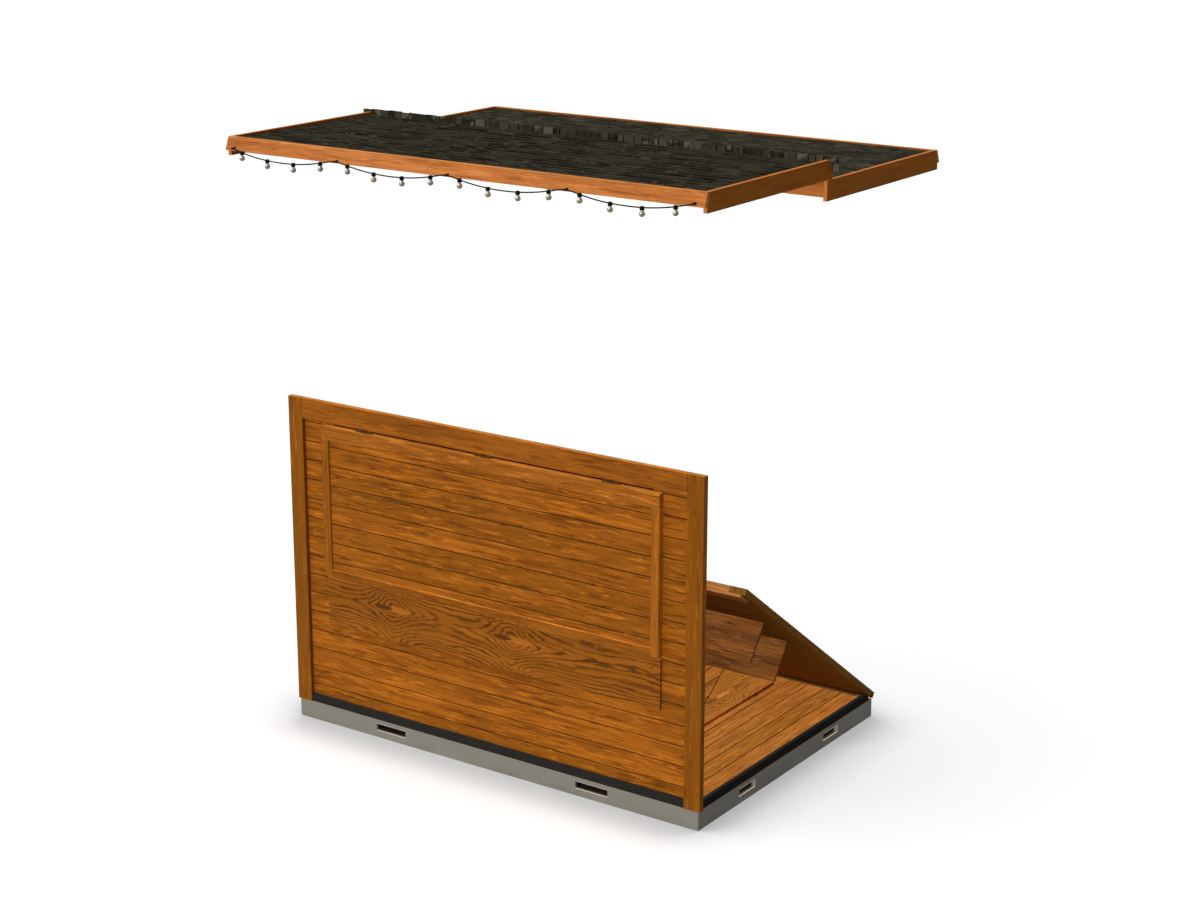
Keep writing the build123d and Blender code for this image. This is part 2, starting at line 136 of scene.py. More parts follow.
# Node helpers
class Recipe:
    """A material's node tree, built from the surface's own place in the frame."""

    def __init__(self, name):
        self.material = bpy.data.materials.new(name)
        self.material.use_nodes = True
        self.tree = self.material.node_tree
        self.tree.nodes.clear()
        self.shader = self.node("ShaderNodeBsdfPrincipled")
        output = self.node("ShaderNodeOutputMaterial")
        self.link(self.shader.outputs[0], output.inputs["Surface"])

    def node(self, kind, **settings):
        made = self.tree.nodes.new(kind)
        for key, value in settings.items():
            setattr(made, key, value)
        return made

    def link(self, source, target):
        self.tree.links.new(source, target)

    def place(self, scale, turn=(0, 0, 0), spread=0.0):
        """Object coordinates, scaled, with each board's tone moving it to a place of its own."""
        coordinates = self.node("ShaderNodeTexCoord").outputs["Object"]
        mapping = self.node("ShaderNodeMapping")
        mapping.inputs["Scale"].default_value = scale
        mapping.inputs["Rotation"].default_value = turn
        self.link(coordinates, mapping.inputs["Vector"])
        if not spread:
            return mapping.outputs[0]
        tone = self.tone()
        step = self.node("ShaderNodeVectorMath", operation="SCALE")
        step.inputs[0].default_value = (spread, spread * 0.7, spread * 1.3)
        self.link(tone, step.inputs["Scale"])
        total = self.node("ShaderNodeVectorMath", operation="ADD")
        self.link(mapping.outputs[0], total.inputs[0])
        self.link(step.outputs[0], total.inputs[1])
        return total.outputs[0]

    def position(self):
        """The surface's own place in the frame, as X, Y and Z."""
        split = self.node("ShaderNodeSeparateXYZ")
        self.link(self.place((1, 1, 1)), split.inputs[0])
        return split.outputs

    def tone(self):
        return self.node("ShaderNodeAttribute", attribute_name="tone").outputs["Fac"]

    def noise(self, place, scale, detail=4.0, roughness=0.55, distortion=0.0):
        noise = self.node("ShaderNodeTexNoise")
        noise.inputs["Scale"].default_value = scale
        noise.inputs["Detail"].default_value = detail
        noise.inputs["Roughness"].default_value = roughness
        noise.inputs["Distortion"].default_value = distortion
        self.link(place, noise.inputs["Vector"])
        return noise.outputs["Fac"]

    def ramp(self, value, stops):
        ramp = self.node("ShaderNodeValToRGB")
        elements = ramp.color_ramp.elements
        while len(elements) < len(stops):
            elements.new(0.5)
        for element, (where, colour) in zip(elements, stops):
            element.position = where
            element.color = (*colour, 1)
        self.link(value, ramp.inputs[0])
        return ramp.outputs[0]

    def curve(self, value, low, high, to_low=0.0, to_high=1.0):
        """Maps a value from low..high to to_low..to_high, clamped."""
        node = self.node("ShaderNodeMapRange")
        node.inputs["From Min"].default_value = low
        node.inputs["From Max"].default_value = high
        node.inputs["To Min"].default_value = to_low
        node.inputs["To Max"].default_value = to_high
        self.link(value, node.inputs["Value"])
        return node.outputs[0]

    def math(self, operation, first, second):
        node = self.node("ShaderNodeMath", operation=operation)
        for value, target in ((first, node.inputs[0]), (second, node.inputs[1])):
            if isinstance(value, (int, float)):
                target.default_value = value
            else:
                self.link(value, target)
        return node.outputs[0]

    def highest(self, values):
        """The highest of several values."""
        top = values[0]
        for value in values[1:]:
            top = self.math("MAXIMUM", top, value)
        return top

    def mix(self, share, first, second, blend="MIX"):
        node = self.node("ShaderNodeMix", data_type="RGBA", blend_type=blend)
        for value, target in ((share, node.inputs[0]), (first, node.inputs[6]), (second, node.inputs[7])):
            if isinstance(value, (int, float)):
                target.default_value = value
            elif isinstance(value, tuple):
                target.default_value = (*value, 1)
            else:
                self.link(value, target)
        return node.outputs[2]

    def bump(self, height, strength, distance):
        bump = self.node("ShaderNodeBump")
        bump.inputs["Strength"].default_value = strength
        bump.inputs["Distance"].default_value = distance
        self.link(height, bump.inputs["Height"])
        self.link(bump.outputs[0], self.shader.inputs["Normal"])

    def facing(self, axis, low=0.55, high=0.8):
        """How far a face looks along an axis, from 0 to 1."""
        split = self.node("ShaderNodeSeparateXYZ")
        self.link(self.node("ShaderNodeNewGeometry").outputs["Normal"], split.inputs[0])
        return self.curve(split.outputs[axis], low, high)

    def painted_light_by_facing(self, colour, axis, factor):
        """Painted light and shade: multiplies the colour by a factor on the faces that look along an axis.
        """
        return self.mix(self.facing(axis), colour, factor, "MULTIPLY")

    def colour(self, colour):
        self.link(colour, self.shader.inputs["Base Color"])

    def roughness(self, value):
        self.link(value, self.shader.inputs["Roughness"])

    def level(self, name, value):
        self.shader.inputs[name].default_value = value


def along(axis, far, near):
    """A mapping scale that is far along the grain's axis and near across it."""
    return tuple(far if index == "XYZ".index(axis) else near for index in range(3))


def wood(name, axis, dark, middle, light, streak=0.6, spread=9.0, top=None, end=None):
    """Stained softwood: bands, streaks, fibres, dark pores and painted highlight glints along one axis, near
    black in the joints and in the painted shadow strip, with painted light and shade on the top and end
    faces.
    """
    recipe = Recipe(name)
    bands = recipe.noise(recipe.place(along(axis, 0.9, 13.0), spread=spread), 1.4, 3.0, 0.55, 0.5)
    fibre = recipe.noise(recipe.place(along(axis, 5.0, 150.0), spread=spread), 1.0, 4.0, 0.65, 0.3)
    streaks = recipe.noise(recipe.place(along(axis, 4.5, 62.0), spread=spread), 1.0, 3.0, 0.6, 0.5)
    # Painted highlight: glint streaks along the grain, a little lighter than the light colour.
    glints = recipe.noise(recipe.place(along(axis, 6.0, 75.0), spread=spread * 1.7), 1.0, 3.0, 0.6, 0.5)
    flecks = recipe.noise(recipe.place(along(axis, 3.6, 40.0), spread=spread * 2.3), 1.0, 2.0, 0.5, 0.2)
    base = recipe.ramp(bands, [(0.32, dark), (0.5, middle), (0.68, light)])
    tone = recipe.tone()
    olive = (0.72 * middle[0], 0.80 * middle[1], 0.5 * middle[2])
    toned = recipe.mix(recipe.curve(tone, 0.35, 0.65, 0.0, 0.55), base, olive)
    bright = recipe.mix(recipe.curve(tone, 0.3, 0.0, 0.0, 0.35), toned, light)
    fibred = recipe.mix(recipe.curve(fibre, 0.42, 0.66, 0.0, 0.55), bright, dark)
    pore = tuple(0.45 * c for c in dark)
    glint = tuple(1.15 * c for c in light)
    fleck = (0.7 * dark[0], 0.35 * dark[1], 0.3 * dark[2])
    # Near black for the dark joints, and for the painted shadow strip above the hatch.
    joint = (0.010, 0.005, 0.002)
    streaked = recipe.mix(recipe.curve(streaks, 0.54, 0.64, 0.0, streak), fibred, pore)
    lit = recipe.mix(recipe.curve(glints, 0.56, 0.66, 0.0, 0.7), streaked, glint)
    flecked = recipe.mix(recipe.curve(flecks, 0.68, 0.74, 0.0, 0.8), lit, fleck)
    # Painted light and shade: faces looking up and along X are multiplied by the top and end factors.
    for side, factor in (("Z", top), ("X", end)):
        if factor:
            flecked = recipe.painted_light_by_facing(flecked, side, factor)
    recipe.colour(recipe.mix(recipe.curve(tone, 1.4, 1.6), flecked, joint))
    recipe.roughness(recipe.curve(fibre, 0.3, 0.75, 0.6, 0.85))
    recipe.level("Specular IOR Level", 0.1)
    recipe.bump(fibre, 0.35, 0.0012)
    return recipe.material


def flat_sawn_wood(name, axis, across, dark, middle, light, centres, middle_line, rise, top=None, end=None):
    """A broad plain-sawn board: contour lines round an eye at each centre, with a core and a patch by it,
    and painted light and shade on the top and end faces.
    """
    recipe = Recipe(name)
    eye_length = 0.13
    eye_swell = 2.4
    line_pitch = 1.7
    position = recipe.position()
    warp = recipe.noise(recipe.place(along(axis, 1.7, 8.0)), 1.0, 3.0, 0.5)
    fine = recipe.noise(recipe.place(along(axis, 8.0, 60.0)), 1.0, 4.0, 0.6)
    width = recipe.math("ABSOLUTE", position[across], 0.0)
    offset = recipe.math("DIVIDE", recipe.math("SUBTRACT", width, middle_line), rise)
    level = recipe.math("MULTIPLY", recipe.math("POWER", recipe.math("ABSOLUTE", offset, 0.0), 1.15), -1.0)
    cores = []
    patches = []
    for centre in centres:
        apart = recipe.math("DIVIDE", recipe.math("SUBTRACT", position[axis], centre), eye_length)
        spread = recipe.math("ADD", recipe.math("MULTIPLY", apart, apart), 1.0)
        swell = recipe.math("DIVIDE", eye_swell, spread)
        level = recipe.math("ADD", level, swell)
        # Torn spots beside the eye: how far along from it, half their length and how flat they are
        for spots, shift, half, flatness in ((cores, 0.05, 0.10, 2.6), (patches, -0.075, 0.075, 3.6)):
            run = recipe.math("DIVIDE", recipe.math("SUBTRACT", position[axis], centre + shift), half)
            lift = recipe.math("MULTIPLY", offset, flatness)
            away = recipe.math("ADD", recipe.math("MULTIPLY", run, run), recipe.math("MULTIPLY", lift, lift))
            torn = recipe.math("ADD", away, recipe.math("MULTIPLY", fine, 1.5))
            spots.append(recipe.curve(torn, 1.75, 1.45))
    waved = recipe.math("ADD", level, recipe.math("MULTIPLY", warp, 3.0))
    rough = recipe.math("ADD", waved, recipe.math("MULTIPLY", fine, 0.55))
    rings = recipe.math("SINE", recipe.math("MULTIPLY", rough, 2 * pi * line_pitch), 0.0)
    fibre = recipe.noise(recipe.place(along(axis, 4.0, 140.0)), 1.0, 4.0, 0.65)
    bands = recipe.noise(recipe.place(along(axis, 0.9, 8.0)), 1.6, 3.0, 0.5)
    wear = recipe.noise(recipe.place(along(axis, 3.0, 22.0)), 1.0, 2.0, 0.5)
    faded = recipe.curve(wear, 0.34, 0.6, 0.45, 1.0)
    core = recipe.math("MULTIPLY", recipe.highest(cores), 0.85)
    patch = recipe.math("MULTIPLY", recipe.highest(patches), 0.9)
    base = recipe.ramp(bands, [(0.35, middle), (0.65, light)])
    ringed = recipe.mix(recipe.math("MULTIPLY", recipe.curve(rings, 0.05, 0.75), faded), base, dark)
    cored = recipe.mix(core, ringed, tuple(1.25 * c for c in light))
    eyed = recipe.mix(patch, cored, tuple(0.8 * c for c in dark))
    fibred = recipe.mix(recipe.curve(fibre, 0.42, 0.7, 0.0, 0.3), eyed, dark)
    # Painted light and shade: faces looking up and along X are multiplied by the top and end factors.
    for side, factor in (("Z", top), ("X", end)):
        if factor:
            fibred = recipe.painted_light_by_facing(fibred, side, factor)
    recipe.colour(fibred)
    recipe.roughness(recipe.curve(fibre, 0.3, 0.75, 0.55, 0.8))
    recipe.level("Specular IOR Level", 0.1)
    recipe.bump(recipe.math("ADD", fibre, rings), 0.25, 0.0008)
    return recipe.material


def painted_steel(name, paint, grime, gloss, top=(0.08, 0.06, 0.045)):
    """Painted steel: slight rolling marks, darker towards the ground, small scuffs, and painted light and
    shade on faces looking up.
    """
    recipe = Recipe(name)
    cloud = recipe.noise(recipe.place((1.5, 1.5, 6.0)), 1.4, 5.0, 0.6)
    scuff = recipe.noise(recipe.place((18.0, 18.0, 60.0)), 1.0, 4.0, 0.7, 0.5)
    peel = recipe.noise(recipe.place((1, 1, 1)), 260.0, 2.0, 0.5)
    low = recipe.curve(recipe.position()["Z"], 0.0, 0.05, 0.5, 0.0)
    share = recipe.math("MULTIPLY", recipe.math("ADD", low, 0.35), recipe.curve(cloud, 0.35, 0.7))
    clouded_darker_low = recipe.mix(share, paint, grime)
    worn = recipe.mix(recipe.curve(scuff, 0.68, 0.76, 0.0, 0.5), clouded_darker_low, tuple(0.55 * c for c in grime))
    # Painted light and shade: faces looking up are multiplied by the top factor.
    recipe.colour(recipe.painted_light_by_facing(worn, "Z", top))
    recipe.roughness(recipe.curve(scuff, 0.3, 0.8, gloss, gloss + 0.25))
    recipe.level("Specular IOR Level", 0.2)
    recipe.bump(recipe.math("ADD", peel, scuff), 0.2, 0.0006)
    return recipe.material


def weathered_shingle(name, dark, middle, light):
    """Dark mineral-faced shingles: each has its own tone, with grit and faint streaks, and a painted
    highlight on the butts that look to the front.
    """
    recipe = Recipe(name)
    grit = recipe.noise(recipe.place((1, 1, 1), spread=5.0), 420.0, 3.0, 0.6)
    streak = recipe.noise(recipe.place((30.0, 9.0, 30.0), spread=5.0), 1.0, 4.0, 0.6)
    tone = recipe.ramp(recipe.tone(), [(0.0, dark), (0.55, middle), (1.0, light)])
    slivers = recipe.noise(recipe.place((7.0, 85.0, 7.0), spread=3.0), 1.0, 3.0, 0.6)
    streaked = recipe.mix(recipe.curve(streak, 0.35, 0.7, 0.0, 0.6), tone, dark)
    lit = recipe.mix(recipe.curve(slivers, 0.55, 0.60, 0.0, 0.9), streaked, tuple(2.0 * c for c in light))
    worn = recipe.mix(recipe.curve(slivers, 0.44, 0.36, 0.0, 0.8), lit, tuple(0.4 * c for c in dark))
    gritty = recipe.mix(recipe.curve(grit, 0.45, 0.75, 0.0, 0.2), worn, light)
    # Painted highlight: butt faces looking along -Y are lightened, more on the lighter shingles.
    butt = recipe.math("MULTIPLY", recipe.facing("Y", -0.6, -0.8), recipe.curve(recipe.tone(), 0.4, 0.8))
    recipe.colour(recipe.mix(butt, gritty, light))
    recipe.roughness(recipe.curve(grit, 0.3, 0.8, 0.85, 1.0))
    recipe.level("Specular IOR Level", 0.05)
    recipe.bump(recipe.math("ADD", grit, streak), 0.5, 0.0015)
    return recipe.material


def rubber(name, base, light):
    """Black rubber or plastic with a slight mottle, and painted shade on the faces that look along X."""
    recipe = Recipe(name)
    mottle = recipe.noise(recipe.place((1, 1, 1)), 90.0, 3.0, 0.6)
    mottled = recipe.mix(recipe.curve(mottle, 0.4, 0.75, 0.0, 0.6), base, light)
    # Painted shade: faces looking along X are darkened to about a quarter.
    recipe.colour(recipe.painted_light_by_facing(mottled, "X", (0.25, 0.25, 0.22)))
    recipe.roughness(recipe.curve(mottle, 0.3, 0.8, 0.6, 0.85))
    recipe.level("Specular IOR Level", 0.1)
    recipe.bump(mottle, 0.2, 0.0005)
    return recipe.material


def frosted_globe(name):
    """Unlit frosted glass, a warm grey clouded a little lighter and darker."""
    recipe = Recipe(name)
    cloud = recipe.noise(recipe.place((1, 1, 1)), 60.0, 3.0, 0.6)
    recipe.colour(recipe.mix(recipe.curve(cloud, 0.35, 0.7), (0.30, 0.25, 0.185), (0.50, 0.435, 0.34)))
    recipe.roughness(recipe.curve(cloud, 0.3, 0.7, 0.16, 0.3))
    recipe.bump(cloud, 0.1, 0.0004)
    recipe.level("Coat Weight", 0.6)
    recipe.level("Coat Roughness", 0.1)
    recipe.level("Subsurface Weight", 0.2)
    recipe.level("Subsurface Scale", 0.01)
    return recipe.material


# Mesh helpers
class Pile:
    """Slabs gathered into one mesh, each face with the tone of its board or shingle."""

    def __init__(self, place=None):
        self.place = place or Matrix.Identity(4)
        self.points = []
        self.faces = []
        self.tones = []

    def take(self, mesh, tone):
        start = len(self.points)
        mesh.verts.index_update()
        self.points += [self.place @ vertex.co for vertex in mesh.verts]
        for face in mesh.faces:
            self.faces.append([start + vertex.index for vertex in face.verts])
            self.tones.append(tone)

    def slab(self, outline, low, high, edge=board_edge, tone=None, lean=None):
        """Adds a slab: an outline of (u, v) points from w = low to high.

        lean gives each top point a height of its own.
        """
        mesh = bmesh.new()
        under = [mesh.verts.new((u, v, low)) for u, v in outline]
        heights = lean or [high] * len(outline)
        over = [mesh.verts.new((u, v, w)) for (u, v), w in zip(outline, heights)]
        mesh.faces.new(under[::-1])
        mesh.faces.new(over)
        count = len(outline)
        for index in range(count):
            after = (index + 1) % count
            mesh.faces.new((under[index], under[after], over[after], over[index]))
        if edge:
            bmesh.ops.bevel(mesh, geom=mesh.edges[:], offset=edge, segments=2, profile=0.6, affect="EDGES")
        bmesh.ops.recalc_face_normals(mesh, faces=mesh.faces[:])
        self.take(mesh, chance.random() if tone is None else tone)
        mesh.free()

    def box(self, low, high, edge=timber_edge, tone=None):
        """Adds a squared timber, given its lowest and highest corners in the pile's own place."""
        outline = [(low[0], low[1]), (high[0], low[1]), (high[0], high[1]), (low[0], high[1])]
        self.slab(outline, low[2], high[2], edge, tone)

    def piece(self, name, body, slot, material, *nodes):
        """Makes the object, sets it on its body and lets it stand for the named nodes."""
        data = bpy.data.meshes.new(name)
        data.from_pydata(self.points, [], self.faces)
        data.attributes.new("tone", "FLOAT", "FACE").data.foreach_set("value", self.tones)
        data.materials.append(material)
        made = bpy.data.objects.new(name, data)
        bpy.context.scene.collection.objects.link(made)
        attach(made, body)
        if nodes:
            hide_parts(*nodes)
        return made


def local_box(node, place):
    """A CAD node's lowest and highest corners in the place's own axes."""
    inverse = place.inverted()
    points = [inverse @ vertex.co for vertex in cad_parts[node].data.vertices]
    low = Vector([min(point[axis] for point in points) for axis in range(3)])
    high = Vector([max(point[axis] for point in points) for axis in range(3)])
    return low, high


def joints_between(low, high, first, pitch):
    """The edges of the boards between two bounds, given one joint and the pitch."""
    shift = (low - first) % pitch
    start = low - shift + pitch
    edges = [low]
    while start < high - narrowest_board:
        if start > low + narrowest_board:
            edges.append(start)
        start += pitch
    return edges + [high]


upright = Matrix.Identity(4)
# Local u along X, v up the front wall and w out of it, towards the person at the counter
wall_place = Matrix(((1, 0, 0, 0), (0, 0, -1, 0), (0, 1, 0, 0), (0, 0, 0, 1)))
# Local u along X, v up the leaning back wall and w into the stall
back_up = Vector((0, -cos(back_lean), sin(back_lean)))
back_in = Vector((0, -sin(back_lean), -cos(back_lean)))
back_axes = Matrix((Vector((1, 0, 0)), back_up, back_in)).transposed().to_4x4()
back_place = Matrix.Translation(back_pin) @ back_axes


def timber(node, body, slot, material, place=upright, edge=timber_edge):
    """A squared timber with eased edges in the place of a CAD node."""
    pile = Pile(place)
    low, high = local_box(node, place)
    pile.box(low, high, edge)
    return pile.piece(f"{node}_timber", body, slot, material, node)


def boards_up(pile, low, high, first, gap=board_gap, dark=dark_joint_and_shadow_tone):
    """Boards along u, one over the other between two corners, each row with its tone and a dark joint."""
    edges = joints_between(low[1], high[1], first, board_pitch)
    tongue = gap / 2 + joint_lap
    inside = 0.001
    for under, over in zip(edges, edges[1:]):
        start = under + gap / 2 * (under != low[1])
        end = over - gap / 2 * (over != high[1])
        row = int(((under + over) / 2 - first) // board_pitch)
        outline = [(low[0], start), (high[0], start), (high[0], end), (low[0], end)]
        pile.slab(outline, low[2], high[2], tone=row_tones[row % len(row_tones)])
    for joint in edges[1:-1]:
        deep = (low[0] + inside, joint - tongue, low[2] + inside)
        pile.box(deep, (high[0] - inside, joint + tongue, high[2] - joint_depth), 0, dark)


def wall_boards(node, body, material):
    """Horizontal boards in the place of one of the front wall's slabs, with the joints in line."""
    pile = Pile(wall_place)
    low, high = local_box(node, wall_place)
    boards_up(pile, low, high, first_joint)
    return pile.piece(f"{node}_planks", body, "boards", material, node)


# The stage
def make_stage():
    """A pale floor with a painted contact shadow round the stall, a white background for the camera and soft
    light from the front left.
    """
    data = bpy.data.meshes.new("floor_sheet")
    reach = 60
    corners = [(-reach, -reach, 0), (reach, -reach, 0), (reach, reach, 0), (-reach, reach, 0)]
    data.from_pydata(corners, [], [(0, 1, 2, 3)])
    sheet = bpy.data.objects.new("studio_floor", data)
    sheet.location.z = -0.0005
    bpy.context.scene.collection.objects.link(sheet)
    recipe = Recipe("studio_floor")
    seen = recipe.node("ShaderNodeLightPath").outputs["Is Camera Ray"]
    cloud = recipe.noise(recipe.place((1, 1, 1)), 0.8, 2.0, 0.5)
    # Painted shadow: the floor darkens towards grey where ambient occlusion finds the stall within 0.42 m.
    near = recipe.node("ShaderNodeAmbientOcclusion")
    near.inputs["Distance"].default_value = 0.42
    near.samples = 8
    open_pale = recipe.mix(cloud, (0.88, 0.90, 0.92), (0.895, 0.91, 0.93))
    shaded = recipe.curve(near.outputs["AO"], 0.66, 0.99)
    pale = recipe.mix(shaded, (0.50, 0.51, 0.525), open_pale)
    recipe.colour(recipe.mix(seen, (0.30, 0.30, 0.30), pale))
    recipe.level("Roughness", 1)
    recipe.level("Specular IOR Level", 0)
    data.materials.append(recipe.material)

    world = bpy.data.worlds.new("studio")
    bpy.context.scene.world = world
    world.use_nodes = True
    tree = world.node_tree
    tree.nodes.clear()
    paths = tree.nodes.new("ShaderNodeLightPath")
    either = tree.nodes.new("ShaderNodeMath")
    either.operation = "MAXIMUM"
    tree.links.new(paths.outputs["Is Camera Ray"], either.inputs[0])
    tree.links.new(paths.outputs["Is Transmission Ray"], either.inputs[1])
    soft = tree.nodes.new("ShaderNodeBackground")
    soft.inputs["Color"].default_value = (0.93, 0.96, 1.0, 1)
    soft.inputs["Strength"].default_value = 0.36
    white = tree.nodes.new("ShaderNodeBackground")
    white.inputs["Color"].default_value = (1, 1, 1, 1)
    white.inputs["Strength"].default_value = 1
    mixed = tree.nodes.new("ShaderNodeMixShader")
    output = tree.nodes.new("ShaderNodeOutputWorld")
    tree.links.new(either.outputs[0], mixed.inputs[0])
    tree.links.new(soft.outputs[0], mixed.inputs[1])
    tree.links.new(white.outputs[0], mixed.inputs[2])
    tree.links.new(mixed.outputs[0], output.inputs["Surface"])

    # Where each lamp stands, its strength, its spread in degrees and whether it casts a shadow
    for name, towards, strength, spread, casts in (
        ("key", (-0.42, -0.66, 0.62), 2.35, 20, False),
        ("top", (0, 0, 1), 0.8, 40, False),
        ("soft_key", (-0.55, -0.45, 0.70), 0.75, 60, True),
    ):
        lamp = bpy.data.lights.new(name, "SUN")
        lamp.energy = strength
        lamp.angle = radians(spread)
        lamp.use_shadow = casts
        lamp.color = (1.0, 0.98, 0.95)
        sun = bpy.data.objects.new(name, lamp)
        sun.rotation_euler = Vector(towards).to_track_quat("Z", "Y").to_euler()
        bpy.context.scene.collection.objects.link(sun)
    bpy.context.scene.view_settings.view_transform = "Standard"


# Materials
def make_materials():
    """Every finish on the stall, by name."""
    # The top and end factors multiply the colour on faces that look up and along X: painted light and shade.
    return {
        "boards": wood(
            "front_board_wood", "X", (0.20, 0.055, 0.003), (0.37, 0.108, 0.005), (0.55, 0.165, 0.010),
        ),
        "lying": wood(
            "lying_board_wood", "Y", (0.30, 0.100, 0.012), (0.53, 0.180, 0.026), (0.70, 0.26, 0.050), 0.5,
            end=(0.5, 0.5, 0.5),
        ),
        "frame_x": wood(
            "frame_wood_along", "X", (0.19, 0.052, 0.003), (0.30, 0.088, 0.005), (0.42, 0.125, 0.009), 0.5,
            top=(1.8, 2.2, 4.5),
        ),
        "frame_z": wood(
            "frame_wood_upright", "Z", (0.22, 0.064, 0.003), (0.30, 0.090, 0.004), (0.37, 0.115, 0.006), 0.3,
            top=(1.8, 2.2, 4.5),
        ),
        "foot_rail": wood(
            "hatch_foot_wood", "X", (0.18, 0.052, 0.003), (0.29, 0.085, 0.004), (0.38, 0.118, 0.007), 0.4,
            top=(2.1, 2.7, 6.0), end=(1.15, 1.4, 0.7),
        ),
        "hatch_x": wood(
            "hatch_frame_wood_along", "X",
            (0.24, 0.070, 0.005), (0.42, 0.125, 0.010), (0.60, 0.19, 0.022), 0.5,
            top=(1.3, 1.4, 2.0), end=(1.15, 1.4, 0.7),
        ),
        "hatch_z": wood(
            "hatch_frame_wood_upright", "Z",
            (0.24, 0.072, 0.005), (0.35, 0.106, 0.007), (0.46, 0.145, 0.012), 0.35,
            top=(1.3, 1.4, 2.0), end=(1.15, 1.4, 0.7),
        ),
        "back": wood(
            "back_wall_wood", "X", (0.150, 0.066, 0.010), (0.170, 0.075, 0.011), (0.190, 0.084, 0.012), 0.05,
        ),
        "back_post": wood(
            "back_post_wood", "Y", (0.17, 0.072, 0.006), (0.20, 0.085, 0.007), (0.24, 0.100, 0.008), 0.15,
            end=(1.0, 0.85, 0.5),
        ),
        "ledger": wood(
            "back_ledger_wood", "X", (0.34, 0.130, 0.032), (0.46, 0.178, 0.050), (0.56, 0.23, 0.072), 0.3,
        ),
        "shelf": wood(
            "shelf_wood", "X", (0.09, 0.028, 0.003), (0.18, 0.059, 0.007), (0.29, 0.100, 0.015), 0.8,
        ),
        "floor": wood("floor_wood", "X", (0.14, 0.050, 0.008), (0.22, 0.080, 0.014), (0.30, 0.110, 0.022)),
        "roof_x": wood(
            "roof_board_wood", "X", (0.34, 0.100, 0.016), (0.46, 0.145, 0.028), (0.58, 0.20, 0.050), 0.4,
            top=(1.2, 1.4, 1.8),
        ),
        "roof_y": wood(
            "roof_gable_wood", "Y", (0.52, 0.165, 0.032), (0.62, 0.20, 0.046), (0.70, 0.24, 0.062), 0.15,
            top=(0.8, 0.8, 0.8), end=(0.47, 0.43, 0.04),
        ),
        "counter": flat_sawn_wood(
            "counter_wood", "X", "Z", (0.110, 0.033, 0.003), (0.29, 0.088, 0.004), (0.385, 0.120, 0.008),
            (-0.717, 0.190), 0.880, 0.056, top=(1.6, 2.0, 4.0),
        ),
        "lying_counter": flat_sawn_wood(
            "side_counter_wood", "Y", "X", (0.26, 0.090, 0.010), (0.52, 0.180, 0.026), (0.66, 0.25, 0.045),
            (0.42,), 0.730, 0.050, end=(0.8, 0.75, 0.5),
        ),
        "steel": painted_steel(
            "grey_painted_steel", (0.255, 0.240, 0.205), (0.17, 0.15, 0.12), 0.5, (0.45, 0.22, 0.07),
        ),
        "pocket": painted_steel(
            "pocket_steel", (0.40, 0.39, 0.355), (0.26, 0.24, 0.20), 0.5, (1.7, 1.7, 1.7),
        ),
        "seal": rubber("dark_sill_seal", (0.12, 0.056, 0.010), (0.15, 0.070, 0.012)),
        # Near black, as painted shade inside the fork ways.
        "pocket_shade": rubber("pocket_steel_painted_shade", (0.006, 0.005, 0.004), (0.014, 0.012, 0.010)),
        "hardware": painted_steel("dark_hinge_steel", (0.022, 0.012, 0.006), (0.015, 0.009, 0.005), 0.75),
        "brown_steel": painted_steel(
            "brown_hinge_steel", (0.25, 0.075, 0.006), (0.17, 0.05, 0.005), 0.7, (1.3, 1.6, 3.0),
        ),
        "slit_shade_steel": painted_steel(
            "hinge_steel_dark_as_slit_shade", (0.075, 0.027, 0.005), (0.06, 0.02, 0.004), 0.75, (1, 1, 1),
        ),
        "edge": rubber("black_edge_strip", (0.017, 0.016, 0.014), (0.034, 0.032, 0.028)),
        "shingle": weathered_shingle(
            "dark_shingle", (0.012, 0.0105, 0.006), (0.018, 0.016, 0.009), (0.034, 0.031, 0.020),
        ),
        "cap": weathered_shingle(
            "ridge_shingle", (0.018, 0.016, 0.010), (0.034, 0.030, 0.020), (0.060, 0.054, 0.038),
        ),
        "cord": rubber("black_cord", (0.003, 0.003, 0.003), (0.010, 0.009, 0.008)),
        "bulb": frosted_globe("frosted_globe"),
    }


def paint(node, material):
    """Gives a CAD node that keeps its shape a new material."""
    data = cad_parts[node]
    for entry in data.material_slots:
        entry.material = material


# Base
def box_along(pile, along_y, run, across, height, edge):
    """Adds a box that runs along Y or X, given its two ends, its two sides and its two heights."""
    x, y = (across, run) if along_y else (run, across)
    pile.box((x[0], y[0], height[0]), (x[1], y[1], height[1]), edge, 0.5)


def line_fork_ways(finish, half_length, half_depth):
    """Steel tubes in the fork ways, coloured near black as painted shade: plates over and under each way,
    and cheeks between the crossings.
    """
    plate = 0.0015
    skin = 0.0005
    from_face = 0.025
    tubes = Pile()
    # Centre, half width and half length of a pair of ways, and centre and half width of the pair across it
    for along_y, centre, half, length, cross, cross_half in (
        (True, front_way, 0.1175, half_depth - from_face, side_way, 0.099),
        (False, side_way, 0.0925, half_length - from_face, front_way, 0.124),
    ):
        between = (
            (-length, -cross - cross_half),
            (-cross + cross_half, cross - cross_half),
            (cross + cross_half, length),
        )
        for place in (-centre, centre):
            left, right = place - half, place + half
            for height in (
                (pocket_low + skin, pocket_low + plate),
                (pocket_high - plate, pocket_high - skin),
            ):
                box_along(tubes, along_y, (-length, length), (left, right), height, 0)
            for cheek in ((left, left + plate), (right - plate, right)):
                for run in between:
                    box_along(tubes, along_y, run, cheek, (pocket_low, pocket_high), 0)
    tubes.piece("fork_way_tubes", "stall", "steel", finish["pocket_shade"])


